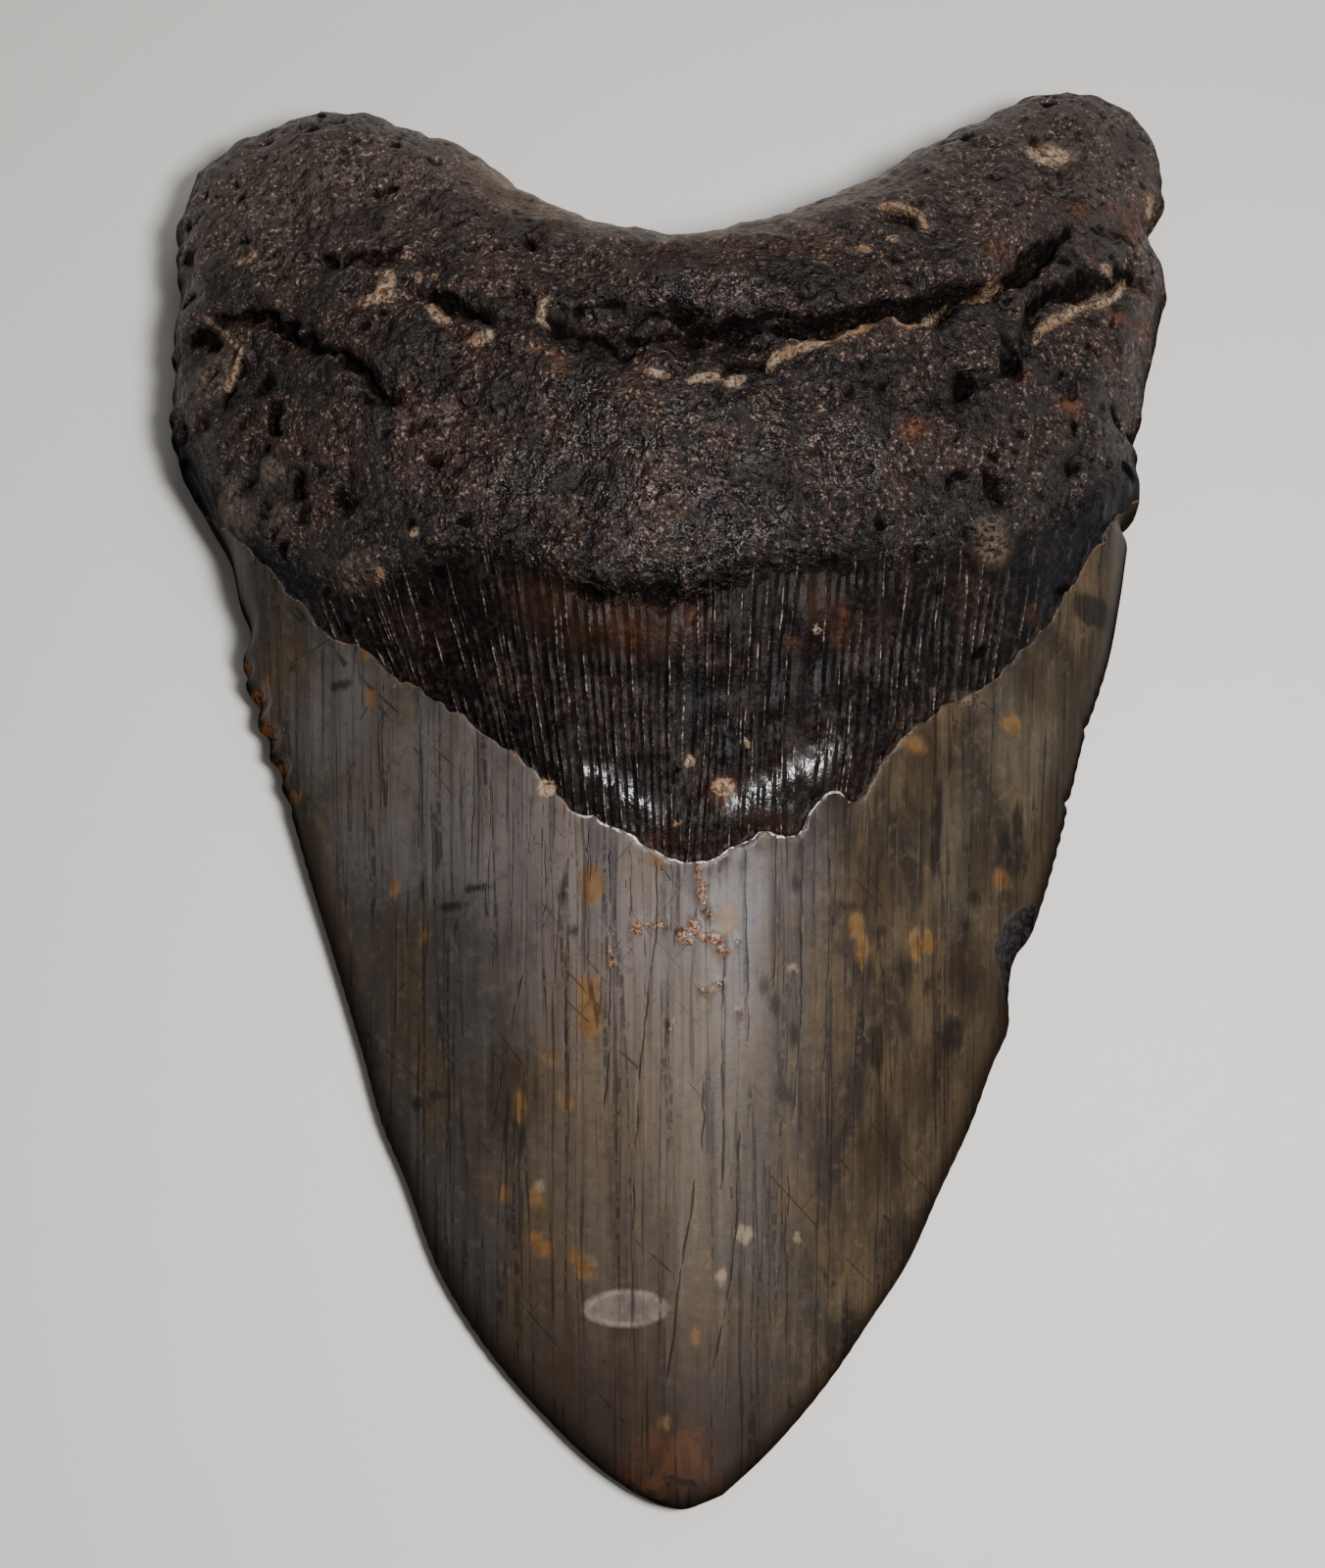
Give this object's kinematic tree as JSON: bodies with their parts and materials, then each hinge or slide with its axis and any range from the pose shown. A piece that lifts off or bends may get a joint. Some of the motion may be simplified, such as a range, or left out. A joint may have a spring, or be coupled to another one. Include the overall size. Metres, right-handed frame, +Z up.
{
  "type": "fossil shark tooth",
  "caption": "Fossil megalodon tooth, a broad tapering crown under a ribbed dark band and a two-lobed, cracked and pitted root, lying on its flatter face.",
  "frame": {"origin": "middle of the bounding box seen from above, on the surface that the tooth lies on", "axes": "+X to the right seen from the lingual face, +Y from the tip to the root, +Z up out of the lingual face"},
  "size_m": [0.0897, 0.1246, 0.0288],
  "materials": {
    "tooth": "satin"
  },
  "bodies": {
    "root": {"tooth": "tooth"}
  },
  "joints": []
}
